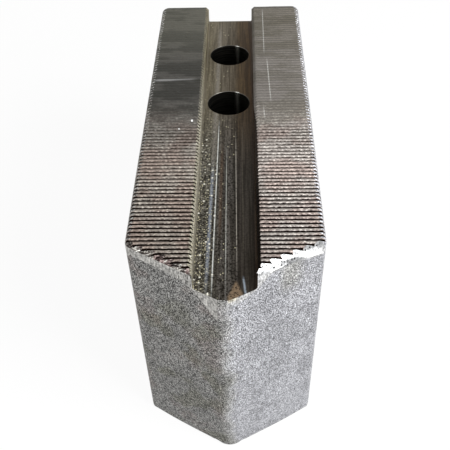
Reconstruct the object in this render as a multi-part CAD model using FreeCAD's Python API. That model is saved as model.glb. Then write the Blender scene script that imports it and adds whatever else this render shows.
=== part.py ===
"""Machinable soft jaw for a power chuck: one solid steel block with a pointed nose.

All sizes are in millimetres.  +Z is up, towards the serrated mounting face, and the jaw
stands on its gripping face at z = 0.  The nose points along -Y and X runs across the jaw.
The origin is the centre of the jaw's footprint.
"""
import FreeCAD, Part
import math
import os

from FreeCAD import Vector

# ---- block ------------------------------------------------------------------------------
jaw_width = 50.8                # 2 in bar
jaw_height = 76.2               # gripping face to serration crests, 3 in
jaw_length = 139.7              # sharp point of the nose outline to back face, 5.5 in
bar_corner_radius = 1.6         # the four rolled corners of the bar
nose_angle = 119.0              # included angle between the two nose faces
nose_tip_radius = 5.0           # upright rounding that takes the sharp point off
nose_corner_radius = 3.0        # upright rounding where a nose face meets a flank
back_corner_radius = 1.6        # upright edges of the back face
gripping_edge_radius = 0.8      # edge broken round the gripping face

# ---- keyway slot ------------------------------------------------------------------------
slot_width = 16.0
slot_depth = 5.8                # below the serration crests
slot_mouth_chamfer = 1.1
slot_floor_radius = 0.4

# ---- serrations of the mounting face ----------------------------------------------------
serration_pitch = 1.5
serration_angle = 60.0          # included angle of each V groove
crest_flat = 0.3                # flat left on each ridge
root_flat = 0.1                 # flat at the bottom of each groove
first_groove = 0.88             # sharp nose point to the first groove's centre line
rear_land = 1.2                 # least plain land between the last groove and the back

# ---- mounting screws --------------------------------------------------------------------
screw_hole_diameter = 13.5      # clears M12
screw_spacing = 30.0            # between the two hole centres
screw_from_point = 84.8         # sharp nose point to the nearer hole's centre
screw_seat_thickness = 22.0     # slot floor to the seat under a screw head
counterbore_diameter = 20.0
counterbore_mouth_chamfer = 1.0

# ---- hand-ground edges of the nose ------------------------------------------------------
# Each bevel runs the length of one pad's front edge: its inset is how far it cuts back into
# the mounting face, and its drop is how far it reaches down the nose face.
left_bevel_inset = 0.25
left_bevel_drop = 4.1
right_bevel_inset = 2.2
right_bevel_drop = 2.6
# Above the left bevel the ridge ends are broken back further, down to about the groove roots.
broken_end_inset = 1.5
broken_end_drop = 1.3
# Each facet is a shallow flat ground across the top of a nose face beside the slot.  Its
# lower edge runs from the slot wall to the nose tip, at these depths below the crests, and
# it cuts back by its own inset at the tip, level with the slot floor.
left_facet_drop_at_wall = 6.3
left_facet_drop_at_tip = 16.0
left_facet_inset = 0.35
right_facet_drop_at_wall = 5.9
right_facet_drop_at_tip = 9.6
right_facet_inset = 0.35

# ---- derived places ---------------------------------------------------------------------
half_width = jaw_width / 2
half_nose = math.radians(nose_angle / 2)
tip_setback = nose_tip_radius * (1 / math.sin(half_nose) - 1)
back_y = (jaw_length - tip_setback) / 2
apex_y = back_y - jaw_length    # the sharp point, where the two nose faces would meet
nose_corner_y = apex_y + half_width / math.tan(half_nose)
slot_floor_z = jaw_height - slot_depth
screw_ys = [apex_y + screw_from_point, apex_y + screw_from_point + screw_spacing]
flank_run = math.tan(math.radians(serration_angle / 2))
groove_depth = (serration_pitch - crest_flat - root_flat) / (2 * flank_run)
overcut = 5.0                   # how far cutting tools run past the metal


def rounded_outline(corners):
    """Closed outline through (x, y, radius) corners, with an arc at each rounded one."""
    count = len(corners)
    edges = []
    arc_ends = []
    for index in range(count):
        x, y, radius = corners[index]
        here = Vector(x, y, 0)
        before = Vector(*corners[index - 1][:2], 0)
        after = Vector(*corners[(index + 1) % count][:2], 0)
        to_before = (before - here).normalize()
        to_after = (after - here).normalize()
        half_turn = to_before.getAngle(to_after) / 2
        setback = radius / math.tan(half_turn)
        middle_way = (to_before + to_after).normalize()
        middle = here + middle_way * (radius / math.sin(half_turn) - radius)
        start = here + to_before * setback
        end = here + to_after * setback
        arc_ends.append((start, end))
        if radius > 0:
            edges.append(Part.Arc(start, middle, end).toShape())
    for index in range(count):
        start = arc_ends[index][1]
        end = arc_ends[(index + 1) % count][0]
        if start.distanceToPoint(end) > 1e-6:
            edges.append(Part.makeLine(start, end))
    return Part.Wire(Part.__sortEdges__(edges))


def upright_outline(corners):
    """Outline given as (x, z, radius) corners, standing in the XZ plane."""
    wire = rounded_outline(corners)
    wire.rotate(Vector(0, 0, 0), Vector(1, 0, 0), 90)
    return wire


def make_plan_block():
    """The jaw's outline from above, pulled up to full height, its lower edge rounded."""
    corners = [
        (0, apex_y, nose_tip_radius),
        (half_width, nose_corner_y, nose_corner_radius),
        (half_width, back_y, back_corner_radius),
        (-half_width, back_y, back_corner_radius),
        (-half_width, nose_corner_y, nose_corner_radius),
    ]
    block = Part.Face(rounded_outline(corners)).extrude(Vector(0, 0, jaw_height))
    lower_edges = [edge for edge in block.Edges if edge.BoundBox.ZMax < 1e-3]
    return block.makeFillet(gripping_edge_radius, lower_edges)


def make_bar():
    """The bar's section, with the slot milled in its top, pulled along the jaw."""
    mouth = slot_width / 2 + slot_mouth_chamfer
    wall = slot_width / 2
    corners = [
        (-half_width, 0, bar_corner_radius),
        (half_width, 0, bar_corner_radius),
        (half_width, jaw_height, bar_corner_radius),
        (mouth, jaw_height, 0),
        (wall, jaw_height - slot_mouth_chamfer, 0),
        (wall, slot_floor_z, slot_floor_radius),
        (-wall, slot_floor_z, slot_floor_radius),
        (-wall, jaw_height - slot_mouth_chamfer, 0),
        (-mouth, jaw_height, 0),
        (-half_width, jaw_height, bar_corner_radius),
    ]
    bar = Part.Face(upright_outline(corners))
    bar.translate(Vector(0, back_y + overcut, 0))
    return bar.extrude(Vector(0, -(jaw_length + 2 * overcut), 0))


def make_serration_comb():
    """The tool that leaves the ridges: one V per pitch, running right across the jaw."""
    sharp_crest_z = jaw_height + crest_flat / (2 * flank_run)
    root_z = jaw_height - groove_depth
    top_z = jaw_height + overcut
    last_centre = jaw_length - rear_land - serration_pitch / 2
    groove_count = math.floor((last_centre - first_groove) / serration_pitch) + 1
    start_y = apex_y + first_groove - serration_pitch / 2
    points = [Vector(0, start_y, top_z), Vector(0, start_y, sharp_crest_z)]
    for index in range(groove_count):
        centre_y = apex_y + first_groove + index * serration_pitch
        points.append(Vector(0, centre_y - root_flat / 2, root_z))
        points.append(Vector(0, centre_y + root_flat / 2, root_z))
        points.append(Vector(0, centre_y + serration_pitch / 2, sharp_crest_z))
    points.append(Vector(0, points[-1].y, top_z))
    comb = Part.Face(Part.makePolygon(points + [points[0]]))
    comb.translate(Vector(-half_width - overcut, 0, 0))
    return comb.extrude(Vector(jaw_width + 2 * overcut, 0, 0))


def make_screw_tool(centre_y):
    """Through hole with a deep counterbore from the gripping face, as one revolved tool."""
    hole = screw_hole_diameter / 2
    bore = counterbore_diameter / 2
    seat_z = slot_floor_z - screw_seat_thickness
    mouth = bore + counterbore_mouth_chamfer
    points = [
        Vector(0, 0, -overcut),
        Vector(mouth + overcut, 0, -overcut),
        Vector(bore, 0, counterbore_mouth_chamfer),
        Vector(bore, 0, seat_z),
        Vector(hole, 0, seat_z),
        Vector(hole, 0, jaw_height),
        Vector(0, 0, jaw_height),
    ]
    half_section = Part.Face(Part.makePolygon(points + [points[0]]))
    tool = half_section.revolve(Vector(0, 0, 0), Vector(0, 0, 1), 360)
    tool.translate(Vector(0, centre_y, 0))
    return tool


def nose_point(side, x, drop, inset):
    """Point on a nose face (side -1 left, +1 right), moved into the metal by its inset."""
    outward = Vector(side * math.cos(half_nose), -math.sin(half_nose), 0)
    on_face = Vector(side * x, apex_y + x / math.tan(half_nose), jaw_height - drop)
    return on_face - outward * inset


def make_grinding_tool(side, edge_start, edge_end, deep_point):
    """A thick plate whose face is the flat through three points, outside the metal."""
    along = (edge_end - edge_start).normalize()
    across = deep_point - edge_start
    across = (across - along * across.dot(along)).normalize()
    outward = along.cross(across)
    if outward.dot(Vector(side * math.cos(half_nose), -math.sin(half_nose), 0)) < 0:
        outward = -outward
    reach = jaw_width
    corners = [
        edge_start - along * reach,
        edge_start + along * reach,
        edge_start + along * reach + across * reach,
        edge_start - along * reach + across * reach,
    ]
    face = Part.Face(Part.makePolygon(corners + [corners[0]]))
    return face.extrude(outward * overcut)


def make_bevel_tool(side, inset, drop):
    """The flat ground along one pad's front edge, ending at the middle of the slot."""
    edge_start = nose_point(side, 0, drop, 0)
    edge_end = nose_point(side, half_width, drop, 0)
    tool = make_grinding_tool(side, edge_start, edge_end, nose_point(side, half_width, 0, inset))
    half = Part.makeBox(jaw_width, jaw_length, jaw_height, Vector(0, apex_y - overcut, slot_floor_z))
    if side < 0:
        half = half.mirror(Vector(0, 0, 0), Vector(1, 0, 0))
    return tool.common(half)


def make_facet_tool(side, drop_at_wall, drop_at_tip, inset):
    """The shallow flat ground beside the slot, from its wall down to the nose tip."""
    edge_start = nose_point(side, slot_width / 2, drop_at_wall, 0)
    edge_end = nose_point(side, 0, drop_at_tip, 0)
    return make_grinding_tool(side, edge_start, edge_end, nose_point(side, 0, slot_depth, inset))


def make_soft_jaw():
    """The finished jaw: bar and nose outline, ground edges, screw holes, serrations."""
    jaw = make_plan_block().common(make_bar())
    grinding = [
        make_bevel_tool(-1, left_bevel_inset, left_bevel_drop),
        make_bevel_tool(-1, broken_end_inset, broken_end_drop),
        make_bevel_tool(1, right_bevel_inset, right_bevel_drop),
        make_facet_tool(-1, left_facet_drop_at_wall, left_facet_drop_at_tip, left_facet_inset),
        make_facet_tool(1, right_facet_drop_at_wall, right_facet_drop_at_tip, right_facet_inset),
    ]
    for tool in grinding:
        jaw = jaw.cut(tool)
    for centre_y in screw_ys:
        jaw = jaw.cut(make_screw_tool(centre_y))
    jaw = jaw.cut(make_serration_comb())
    return jaw.Solids[0]


os.makedirs("parts", exist_ok=True)
soft_jaw = make_soft_jaw()
soft_jaw.exportStep("parts/soft_jaw.step")
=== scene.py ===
"""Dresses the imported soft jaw: one worn steel block, its finishes, the light and the camera.

The block is rebuilt as one closed skin of computed surfaces, so that the ridges, their torn
ends and the hand-ground edges of the nose are real shape.  Sizes are in millimetres until a
mesh is written; the frame and every object are in metres.
"""

import logging
import math
from collections.abc import Callable
from dataclasses import dataclass, field
from enum import Enum, IntEnum
from functools import partial

import bmesh
import bpy
import numpy as np
from mathutils import Matrix, Vector

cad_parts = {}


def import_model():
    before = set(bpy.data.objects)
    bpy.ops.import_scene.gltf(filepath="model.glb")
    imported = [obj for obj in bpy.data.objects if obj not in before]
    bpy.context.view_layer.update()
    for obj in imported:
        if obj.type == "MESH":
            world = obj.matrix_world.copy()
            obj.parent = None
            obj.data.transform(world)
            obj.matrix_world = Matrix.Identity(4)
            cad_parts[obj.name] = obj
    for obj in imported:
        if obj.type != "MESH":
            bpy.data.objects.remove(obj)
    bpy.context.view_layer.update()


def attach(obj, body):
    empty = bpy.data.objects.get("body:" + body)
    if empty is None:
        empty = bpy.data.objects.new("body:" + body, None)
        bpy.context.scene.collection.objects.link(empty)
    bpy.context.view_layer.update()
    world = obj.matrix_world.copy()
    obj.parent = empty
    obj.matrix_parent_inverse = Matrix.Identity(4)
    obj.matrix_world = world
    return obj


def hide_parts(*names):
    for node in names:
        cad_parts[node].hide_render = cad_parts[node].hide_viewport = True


LOG = logging.getLogger("soft_jaw")
MM = 0.001
Array = np.ndarray
Socket = bpy.types.NodeSocket
Vector3 = tuple[float, float, float]


class Zone(Enum):
    """The finishes on the jaw's skin; the value is the material's place on the mesh."""

    BLASTED = 0
    SERRATED = 1
    TORN = 2
    GROUND = 3
    SLOT = 4
    BORE = 5
    GRIP = 6


class Seed(IntEnum):
    """Picks the random heights of each kind of unevenness."""

    GROUND_LINE = 11
    TORN_COARSE = 21
    TORN_FINE = 22
    CREST_COARSE = 31
    CREST_FINE = 32
    DENTS = 33
    GROOVE_DIRT = 34
    RAGGED_COARSE = 51
    RAGGED_FINE = 61


# ---- small helpers ------------------------------------------------------------------------


def smooth_step(low: float, high: float, value: Array) -> Array:
    """Rises from 0 at low to 1 at high with level ends: 3t^2 - 2t^3.

    Args:
        low: where the rise starts.
        high: where it ends.
        value: the numbers to map.

    Returns:
        An array like value, from 0 to 1.
    """
    t = np.clip((value - low) / (high - low), 0.0, 1.0)
    return t * t * (3.0 - 2.0 * t)


def value_noise(x: Array, y: Array, cell: float, seed: int) -> Array:
    """Smooth random heights from -1 to 1 over a plane.

    Each cell corner gets a random height, and a point takes the four round it, weighted by
    the smooth step of its place in the cell.

    Args:
        x: first coordinates, in mm.
        y: second coordinates, in mm.
        cell: side of a cell, in mm.
        seed: picks the random heights.

    Returns:
        One height for each point.
    """
    lattice_size = 512
    lattice = np.random.default_rng(seed).uniform(-1.0, 1.0, (lattice_size, lattice_size))
    u = np.asarray(x, float) / cell + lattice_size / 2
    v = np.asarray(y, float) / cell + lattice_size / 2
    i = np.floor(u).astype(int)
    j = np.floor(v).astype(int)
    a = smooth_step(0.0, 1.0, u - i)
    b = smooth_step(0.0, 1.0, v - j)
    i0, i1 = i % lattice_size, (i + 1) % lattice_size
    j0, j1 = j % lattice_size, (j + 1) % lattice_size
    low = lattice[i0, j0] * (1 - a) + lattice[i1, j0] * a
    high = lattice[i0, j1] * (1 - a) + lattice[i1, j1] * a
    return low * (1 - b) + high * b


def profile_value(points: list[tuple[float, float]], x: Array, blend: float = 0.0) -> Array:
    """Height of a line through a few points, its corners rounded by averaging.

    Args:
        points: (place, value) pairs in rising order.
        x: places to read.
        blend: half the width, in mm, over which the line is averaged.

    Returns:
        One value for each place.
    """
    places = np.array([p[0] for p in points])
    values = np.array([p[1] for p in points])
    if blend <= 0:
        return np.interp(x, places, values)
    reads, taper = 9, 1.25
    offsets = np.linspace(-blend, blend, reads)
    weights = 1.0 - np.abs(offsets) / (blend * taper)
    samples = np.interp(np.asarray(x)[..., None] + offsets, places, values)
    return (samples * weights).sum(-1) / weights.sum()


def sheet(x: Array, y: Array, z: Array) -> Array:
    """Grid points from their x and z, rows by columns, with one y for each row."""
    return np.stack([x, y[:, None] + 0 * x, z], -1)


# ---- the jaw's shape ----------------------------------------------------------------------


@dataclass(frozen=True)
class NosePlan:
    """The jaw's outline from above: a pointed nose, two flanks and a square back."""

    width: float = 50.8
    height: float = 76.2
    length: float = 139.7
    nose_angle: float = 119.0
    tip_radius: float = 5.0
    corner_radius: float = 3.0
    back_radius: float = 1.6

    @property
    def half(self) -> float:
        """Half the jaw's width."""
        return self.width / 2

    @property
    def lean(self) -> float:
        """Angle between a nose face and the jaw's length, in radians."""
        return math.radians(self.nose_angle / 2)

    @property
    def back(self) -> float:
        """Place of the back face along Y, with the footprint centred."""
        return (self.length - self.tip_radius * (1 / math.sin(self.lean) - 1)) / 2

    @property
    def point(self) -> float:
        """Place along Y of the sharp point where the nose faces would meet."""
        return self.back - self.length

    @property
    def tip(self) -> float:
        """Place along Y of the rounded tip."""
        return -self.back

    @property
    def corner(self) -> float:
        """Place along Y where a nose face would meet its flank."""
        return self.point + self.half / math.tan(self.lean)

    def face_x(self, y: Array) -> Array:
        """Half-width of the two flat nose faces at y, before any rounding."""
        return (y - self.point) * math.tan(self.lean)

    def at(self, x: float) -> float:
        """Place along Y where a flat nose face is x from the middle."""
        return self.point + x / math.tan(self.lean)

    def half_width(self, y: Array) -> Array:
        """Half-width of the rounded outline.

        The tip is a circle tangent to both nose faces, and circles round the corners where
        the faces meet the flanks and the flanks meet the back.

        Args:
            y: places along the jaw.

        Returns:
            Half the width of the metal at each place.
        """
        centre = self.point + self.tip_radius / math.sin(self.lean)
        tangent = centre - self.tip_radius * math.sin(self.lean)
        arc = np.sqrt(np.maximum(self.tip_radius**2 - (centre - y) ** 2, 0.0))
        width = np.where(y < tangent, arc, self.face_x(y))
        setback = self.corner_radius * math.tan(self.lean / 2)
        arc_start = self.corner - setback * math.cos(self.lean)
        arc_end = self.corner + setback
        bend = np.sqrt(np.maximum(self.corner_radius**2 - (arc_end - y) ** 2, 0.0))
        width = np.where(y > arc_start, self.half - self.corner_radius + bend, width)
        width = np.where(y > arc_end, self.half, width)
        rear = y - (self.back - self.back_radius)
        rear_bend = np.sqrt(np.maximum(self.back_radius**2 - np.maximum(rear, 0.0) ** 2, 0.0))
        return np.where(rear > 0, self.half - self.back_radius + rear_bend, width)

    def inset(self, x: Array, y: Array) -> Array:
        """Distance from a point inside the outline to its edge, square to the edge.

        Args:
            x: places across the jaw.
            y: places along it, of a shape that goes with x.

        Returns:
            Distances in mm.
        """
        nose = (self.face_x(y) - np.abs(x)) * math.cos(self.lean)
        centre = self.point + self.tip_radius / math.sin(self.lean)
        reach = np.hypot(x, centre - y)
        in_tip = (centre - y) > np.abs(x) / math.tan(self.lean) + 1e-9
        round_tip = self.tip_radius - reach
        edge = np.minimum(self.half - np.abs(x), self.back - y)
        return np.minimum(np.where(in_tip, round_tip, nose), edge)


@dataclass(frozen=True)
class HandGrinding:
    """The edges that were dressed by hand on one half of the nose.

    Each list gives (distance from the jaw's middle, size) pairs along the nose face.

    ground_drop is how far below the crests the ground metal reaches, shoulder_drop and
    shoulder_inset place the break between the upright band and the slope above it, and
    top_inset is how far that slope cuts back into the ridges.  floor_lean is how far the
    facet beside the slot leans back, in mm for each mm up.  wobble and ragged are how far
    the ground line and the torn ridge ends wander, each with the length of its waves.
    """

    side: int
    ground_drop: list[tuple[float, float]]
    shoulder_drop: list[tuple[float, float]]
    shoulder_inset: list[tuple[float, float]]
    top_inset: list[tuple[float, float]]
    floor_lean: float
    slope_zone: Zone
    facet_start: float
    ragged: float
    ragged_wave: float = 1.9
    ragged_fine_wave: float = 0.8
    ragged_fine_share: float = 0.7
    wobble: float = 0.16
    wobble_wave: float = 2.3
    blend: float = 0.9
    top_blend: float = 0.25


LEFT_GRINDING = HandGrinding(
    side=-1,
    ground_drop=[
        (1.37, 12.0), (2.0, 14.2), (4.3, 11.2), (8, 5.95), (11.1, 4.8),
        (14.9, 3.95), (18.8, 3.9), (23.6, 3.3), (24.6, 3.5), (25.1, 5.2),
    ],
    shoulder_drop=[(8, 1.35), (11, 1.3), (20, 1.25), (25.4, 1.2)],
    shoulder_inset=[(8, 0.0), (9, 0.06), (24, 0.08), (25.4, 0.0)],
    top_inset=[(8, 0.0), (9.2, 1.7), (11.3, 2.1), (14, 1.4), (20, 1.35), (24, 1.2), (25.4, 0.7)],
    floor_lean=0.012,
    slope_zone=Zone.TORN,
    facet_start=1.9,
    ragged=0.38,
)
RIGHT_GRINDING = HandGrinding(
    side=1,
    ground_drop=[
        (1.37, 12.0), (1.42, 9.2), (4.4, 7.8), (8, 5.95), (9.8, 4.1),
        (11.5, 2.4), (15.5, 2.2), (18.5, 2.5), (21.6, 3.6), (25.4, 4.1),
    ],
    shoulder_drop=[(8, 1.35), (11, 1.2), (20, 1.25), (25.4, 1.3)],
    shoulder_inset=[
        (8, 0.0), (9.1, 0.5), (9.8, 1.15), (11.5, 1.05), (15.5, 1.0), (21.6, 1.15), (25.4, 0.9),
    ],
    top_inset=[
        (8, 0.0), (9.1, 1.0), (9.8, 1.95), (12, 2.25),
        (15.5, 2.2), (18.5, 2.05), (21.6, 1.8), (25.4, 1.3),
    ],
    floor_lean=0.11,
    slope_zone=Zone.GROUND,
    facet_start=0.6,
    ragged=0.16,
)


@dataclass
class Skin:
    """Collects patches of surface and joins them into one closed mesh.

    A patch is a grid of points, or a strip between two lines that were divided differently.
    Points that lie together are joined when the skin is closed.
    """

    points: list[Array] = field(default_factory=list)
    relief: list[Array] = field(default_factory=list)
    triangles: list[Array] = field(default_factory=list)
    zones: list[Array] = field(default_factory=list)
    count: int = 0

    def _add_points(self, points: Array, relief: Array) -> Array:
        """Stores points.

        Args:
            points: any grid of xyz, in mm.
            relief: how high each stands in the ridges.

        Returns:
            Their numbers, in the shape of the grid they came in.
        """
        shape = points.shape[:-1]
        flat = points.reshape(-1, 3)
        numbers = np.arange(self.count, self.count + len(flat)).reshape(shape)
        self.points.append(flat)
        self.relief.append(np.broadcast_to(relief, shape).reshape(-1))
        self.count += len(flat)
        return numbers

    def _add_triangles(self, triangles: Array, zone: Array) -> None:
        """Stores triangles.

        Args:
            triangles: three point numbers a row.
            zone: the finish, as one number for all or one for each.
        """
        self.triangles.append(triangles)
        self.zones.append(np.broadcast_to(zone, (len(triangles),)).astype(int))

    def grid(self, points: Array, zone: Zone | Array, relief: Array | float = 1.0) -> None:
        """Adds a grid of points as two triangles a cell.

        Args:
            points: rows by columns by xyz, in mm.
            zone: the finish, or an array with one finish for each cell.
            relief: how high each point stands in the ridges, from 0 at a root to 1.
        """
        n = self._add_points(points, np.asarray(relief))
        a, b, c, d = n[:-1, :-1], n[:-1, 1:], n[1:, 1:], n[1:, :-1]
        # The shorter diagonal of each cell is the one that is cut.
        first = ((points[:-1, :-1] - points[1:, 1:]) ** 2).sum(-1)
        second = ((points[:-1, 1:] - points[1:, :-1]) ** 2).sum(-1)
        pick = (first <= second)[..., None]
        one = np.where(pick, np.stack([a, b, c], -1), np.stack([a, b, d], -1)).reshape(-1, 3)
        two = np.where(pick, np.stack([a, c, d], -1), np.stack([b, c, d], -1)).reshape(-1, 3)
        value = zone.value if isinstance(zone, Zone) else np.asarray(zone).reshape(-1)
        self._add_triangles(one, value)
        self._add_triangles(two, value)

    def strip(self, fine: Array, coarse: Array, zone: Zone, beyond: Zone, limit: float) -> None:
        """Joins a finely divided line to a coarse one beside it.

        Every fine step takes the nearest coarse point, by its place along Y, and every
        coarse step takes the fine point where that choice changes.

        Args:
            fine: points of the finely divided line, rising along Y.
            coarse: points of the coarse line, rising along Y.
            zone: the finish up to the limit.
            beyond: the finish past it.
            limit: place along Y where the finish changes.
        """
        f = self._add_points(fine, np.asarray(1.0))
        c = self._add_points(coarse, np.asarray(1.0))
        middle = (fine[:-1, 1] + fine[1:, 1]) / 2
        switch = (coarse[:-1, 1] + coarse[1:, 1]) / 2
        near = np.searchsorted(switch, middle)
        fine_zone = np.where(middle < limit, zone.value, beyond.value)
        self._add_triangles(np.stack([f[:-1], f[1:], c[near]], -1), fine_zone)
        turn = np.searchsorted(middle, switch)
        coarse_zone = np.where(switch < limit, zone.value, beyond.value)
        self._add_triangles(np.stack([c[:-1], c[1:], f[turn]], -1), coarse_zone)

    def close(
        self, name: str, join_mm: float = 0.002, sharp_deg: float = 28.0
    ) -> bpy.types.Object:
        """Joins the patches, closes the back and makes the Blender object.

        Args:
            name: the object's name.
            join_mm: points nearer than this become one.
            sharp_deg: an edge that turns by more than this is drawn sharp.

        Returns:
            The finished object, at the origin, in metres.
        """
        points = np.concatenate(self.points)
        triangles = np.concatenate(self.triangles)
        zones = np.concatenate(self.zones)
        relief = np.concatenate(self.relief)
        keys = np.round(points / join_mm).astype(np.int64)
        _, first, back = np.unique(keys, axis=0, return_index=True, return_inverse=True)
        back = back.reshape(-1)
        triangles = back[triangles]
        a, b, c = triangles.T
        whole = (a != b) & (b != c) & (c != a)
        triangles, zones = triangles[whole], zones[whole]
        mesh = bpy.data.meshes.new(name)
        mesh.from_pydata((points[first] * MM).tolist(), [], triangles.tolist())
        mesh.polygons.foreach_set("material_index", zones)
        layer = mesh.attributes.new("relief", "FLOAT", "POINT")
        layer.data.foreach_set("value", relief[first])
        shape = bmesh.new()
        shape.from_mesh(mesh)
        loose = [point for point in shape.verts if not point.link_faces]
        bmesh.ops.delete(shape, geom=loose, context="VERTS")
        rim = [edge for edge in shape.edges if edge.is_boundary]
        LOG.info("open edges before the back is closed: %d", len(rim))
        filled = bmesh.ops.triangle_fill(shape, use_beauty=True, use_dissolve=False, edges=rim)
        for item in filled["geom"]:
            if isinstance(item, bmesh.types.BMFace):
                item.material_index = Zone.BLASTED.value
        bmesh.ops.recalc_face_normals(shape, faces=shape.faces)
        open_edges = sum(1 for edge in shape.edges if not edge.is_manifold)
        LOG.info("edges that are not closed: %d", open_edges)
        shape.to_mesh(mesh)
        shape.free()
        mesh.validate()
        mesh.polygons.foreach_set("use_smooth", np.ones(len(mesh.polygons), bool))
        mesh.set_sharp_from_angle(angle=math.radians(sharp_deg))
        piece = bpy.data.objects.new(name, mesh)
        bpy.context.scene.collection.objects.link(piece)
        return piece


@dataclass
class SoftJaw:
    """The jaw as one closed skin, worked out from its driving sizes."""

    plan: NosePlan = field(default_factory=NosePlan)
    bar_corner: float = 1.6
    base_edge: float = 0.8
    worn_edge: float = 1.4
    slot_half: float = 8.0
    slot_depth: float = 5.8
    mouth_chamfer: float = 1.1
    floor_radius: float = 0.4
    pitch: float = 1.5
    crest_flat: float = 0.34
    root_flat: float = 0.1
    groove_angle: float = 60.0
    first_groove: float = 0.88
    rear_land: float = 1.2
    rear_wear: float = 0.12
    rear_wear_length: float = 0.6
    flank_line_drop: float = 4.0
    band_above_line: float = 0.55
    screw_from_point: float = 84.8
    screw_spacing: float = 30.0
    screw_radius: float = 6.75
    seat_below_floor: float = 22.0
    counterbore_radius: float = 10.0
    window_half: float = 12.0
    window_steps: int = 12

    @property
    def top(self) -> float:
        """Height of the serration crests."""
        return self.plan.height

    @property
    def floor(self) -> float:
        """Height of the slot floor."""
        return self.top - self.slot_depth

    @property
    def groove_depth(self) -> float:
        """Depth of a groove below the crests."""
        run = math.tan(math.radians(self.groove_angle / 2))
        return (self.pitch - self.crest_flat - self.root_flat) / (2 * run)

    @property
    def wall_y(self) -> float:
        """Place along Y where the nose faces meet the slot walls."""
        return self.plan.at(self.slot_half)

    @property
    def screw_places(self) -> list[float]:
        """Places along Y of the two screw holes."""
        near = self.plan.point + self.screw_from_point
        return [near, near + self.screw_spacing]

    # -- where the surfaces are divided along Y --

    def fine_stations(self) -> Array:
        """Places along Y that follow every ridge, with more on each the nearer the nose is.

        Returns:
            Rising places, from the start of the slot walls to the back face.
        """
        start = self.plan.point
        groove_count = int(self.plan.length / self.pitch) + 2
        roots = start + self.first_groove + self.pitch * np.arange(-1, groove_count)
        half_root = self.root_flat / 2
        half_gap = (self.pitch - self.crest_flat) / 2
        crest = self.pitch / 2
        # From and to along the jaw, points up a flank, and places on the crest.
        divisions = (
            (-math.inf, 19.0, 6, [crest - 0.07, crest + 0.07]),
            (19.0, 80.0, 4, [crest]),
            (80.0, math.inf, 3, []),
        )
        parts = []
        for low, high, count, on_crest in divisions:
            flank = np.linspace(half_root, half_gap, count)
            chosen = roots[(roots >= start + low) & (roots < start + high)]
            ridge = np.concatenate([-flank[::-1], flank, on_crest])
            parts.append((chosen[:, None] + ridge).ravel())
        inner = np.unique(np.round(np.concatenate(parts), 4))
        margin = 0.02
        keep = inner[(inner > self.wall_y + margin) & (inner < self.plan.back - margin)]
        return np.concatenate([[self.wall_y], keep, [self.plan.back]])

    def coarse_stations(self) -> Array:
        """Places along Y for the plain surfaces, closer together round the nose.

        Returns:
            Rising places, from the rounded tip to the back face.
        """
        plan = self.plan
        centre = plan.point + plan.tip_radius / math.sin(plan.lean)
        turn = np.linspace(0, math.pi / 2 - plan.lean, 9)
        near, far = self.screw_places
        reach = self.window_half
        rear_start = plan.back - plan.back_radius
        parts = [centre - plan.tip_radius * np.cos(turn)]
        low = parts[0][-1]
        # Each stretch ends at a place, and is cut into so many steps or steps of a length.
        for high, steps in ((self.wall_y, 12), (plan.corner - 0.9, 37), (plan.corner + 2.1, 12)):
            parts.append(np.linspace(low, high, steps + 1)[1:])
            low = high
        for high, step in (
            (near - reach, 2.5),
            (near + reach, 1.5),
            (far - reach, 1.5),
            (far + reach, 1.5),
            (rear_start, 2.0),
        ):
            steps = max(1, round((high - low) / step))
            parts.append(np.linspace(low, high, steps + 1)[1:])
            low = high
        rear = np.linspace(0, math.pi / 2, 4)[1:]
        parts.append(rear_start + plan.back_radius * np.sin(rear))
        return np.concatenate(parts)

    # -- heights and outlines --

    def ridge_height(self, y: Array) -> Array:
        """Height of the serrated face along Y.

        It is level on each crest and root, and a straight flank joins them.

        Args:
            y: places along the jaw.

        Returns:
            Heights in mm.
        """
        along = y - self.plan.point - self.first_groove + self.pitch / 2
        from_root = np.abs(along % self.pitch - self.pitch / 2)
        run = math.tan(math.radians(self.groove_angle / 2))
        depth = self.groove_depth - np.maximum(from_root - self.root_flat / 2, 0.0) / run
        depth = np.where(y > self.plan.back - self.rear_land, 0.0, np.maximum(depth, 0.0))
        rear = smooth_step(self.plan.back - self.rear_wear_length, self.plan.back, y)
        return self.top - depth - self.rear_wear * rear

    def ridge_share(self, z: Array) -> Array:
        """How high a point stands in the ridges, from 0 at a root to 1 at a crest."""
        return np.clip((z - (self.top - self.groove_depth)) / self.groove_depth, 0, 1)

    def on_flank(self, y: Array) -> Array:
        """1 on the flanks and 0 on the nose, with a smooth change at the corner."""
        return smooth_step(self.plan.corner - 1.0, self.plan.corner + 1.0, y)

    def window_rows(self, y: Array, centre: float) -> tuple[int, int]:
        """Numbers of the stations where a screw hole's window starts and ends."""
        ends = (centre - self.window_half, centre + self.window_half)
        return tuple(int(np.argmin(np.abs(y - end))) for end in ends)

    def face_place(self, y: Array) -> Array:
        """Distance from the middle, up to the flank, at which a nose face is met at y."""
        return np.clip(self.plan.face_x(y), 0.0, self.plan.half)

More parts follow.
